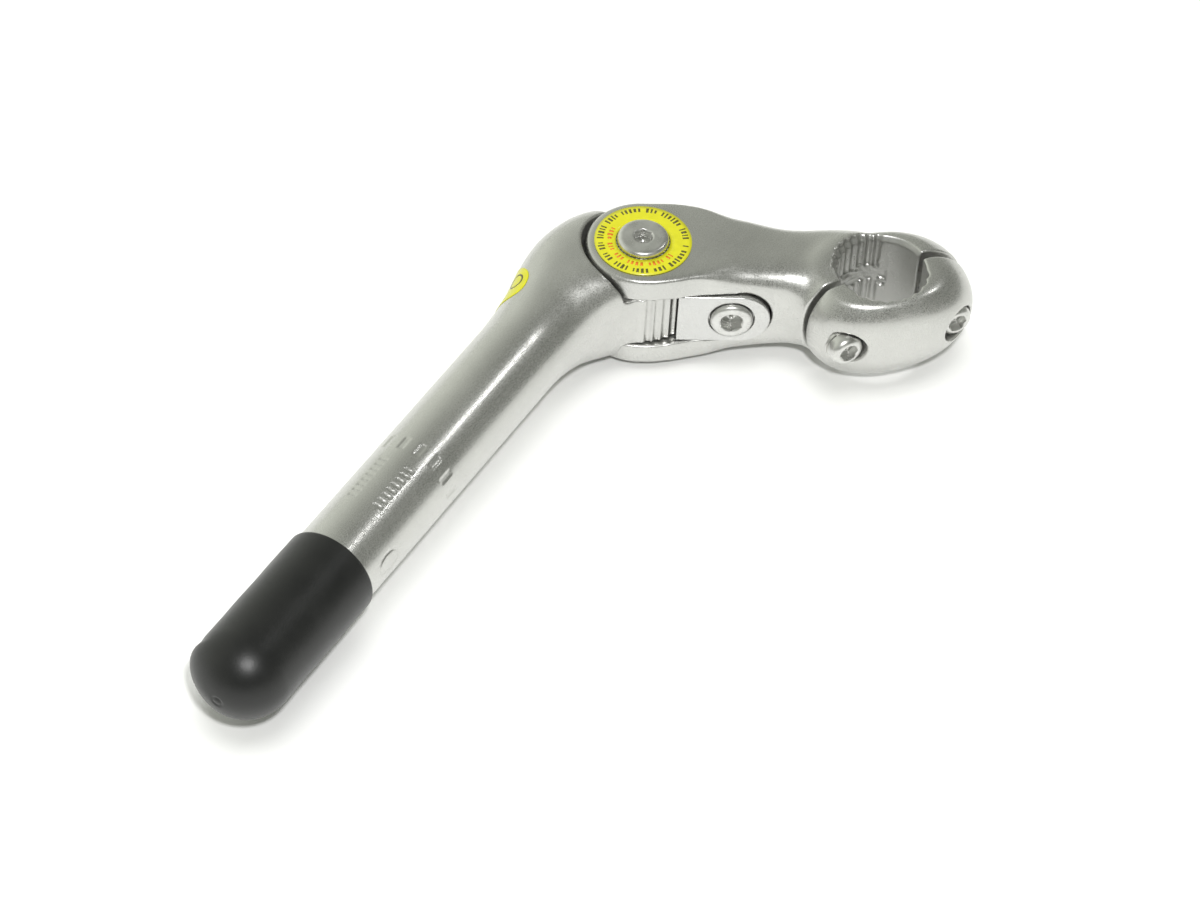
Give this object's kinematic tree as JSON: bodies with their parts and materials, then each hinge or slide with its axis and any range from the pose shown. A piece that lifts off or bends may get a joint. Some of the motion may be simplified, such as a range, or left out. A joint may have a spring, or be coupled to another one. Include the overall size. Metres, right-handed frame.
{
  "type": "handlebar stem",
  "caption": "Adjustable quill stem: a post with an expander wedge, a tilting arm with a toothed lock, and a split clamp for the handlebar.",
  "frame": {"origin": "on the quill's axis at the ring of insertion marks, with the stem lying on its side", "axes": "+X forward in the direction of travel, +Y up the quill towards the head, +Z out of the side with the pivot bolt's head, which is up as the stem lies"},
  "size_m": [0.1161, 0.2518, 0.038],
  "materials": {
    "alloy": "satin, lightly brushed",
    "steel": "satin",
    "bronze": "plain",
    "rubber": "satin black",
    "label": "yellow printed film"
  },
  "bodies": {
    "quill": {"quill_body": "alloy", "edge_sticker": "label", "pivot_bush": "bronze", "expander_washer": "steel"},
    "expander_bolt": {"expander_bolt": "steel"},
    "expander_wedge": {"expander_wedge": "alloy"},
    "end_cap": {"end_cap": "rubber"},
    "arm": {"arm": "alloy", "shim_right": "steel", "shim_left": "steel", "pivot_bolt": "steel", "pivot_lock_washer": "steel", "pivot_nut": "steel", "pivot_nut_washer": "steel", "ring_label": "label"},
    "lock_block": {"lock_block": "alloy", "lock_washer": "steel"},
    "lock_bolt": {"lock_bolt": "steel"},
    "clamp_cap": {"clamp_cap": "alloy", "clamp_bolt_upper": "steel", "clamp_bolt_lower": "steel", "clamp_washer_upper": "steel", "clamp_washer_lower": "steel"}
  },
  "joints": [
    {"name": "expander_turn", "type": "hinge", "parent": "quill", "child": "expander_bolt", "pos_m": [0, 0, 0], "axis": [0, 1, 0], "range_deg": [0, 720]},
    {"name": "wedge_slide", "type": "slide", "parent": "quill", "child": "expander_wedge", "axis": [0, -1, 0], "range_m": [0, 0.0025]},
    {"name": "end_cap_pull", "type": "slide", "parent": "quill", "child": "end_cap", "axis": [0, -1, 0], "range_m": [0, 0.06]},
    {"name": "arm_tilt", "type": "hinge", "parent": "quill", "child": "arm", "pos_m": [0.0139, 0.0998, 0], "axis": [0, 0, 1], "range_deg": [-27, 36]},
    {"name": "lock_bolt_turn", "type": "hinge", "parent": "lock_block", "child": "lock_bolt", "pos_m": [0.04349, 0.10131, 0], "axis": [-0.5299, 0.848, 0], "range_deg": [0, 576]},
    {"name": "lock_slide", "type": "slide", "parent": "arm", "child": "lock_block", "axis": [-0.5299, 0.848, 0], "range_m": [0, 0.002]},
    {"name": "clamp_cap_slide", "type": "slide", "parent": "arm", "child": "clamp_cap", "axis": [0.8387, -0.5446, 0], "range_m": [0, 0.016]}
  ],
  "couplings": [
    {"joint": "expander_turn", "follows": "wedge_slide", "rad_per_m": 5026.5},
    {"joint": "lock_bolt_turn", "follows": "lock_slide", "rad_per_m": 5026.5}
  ]
}
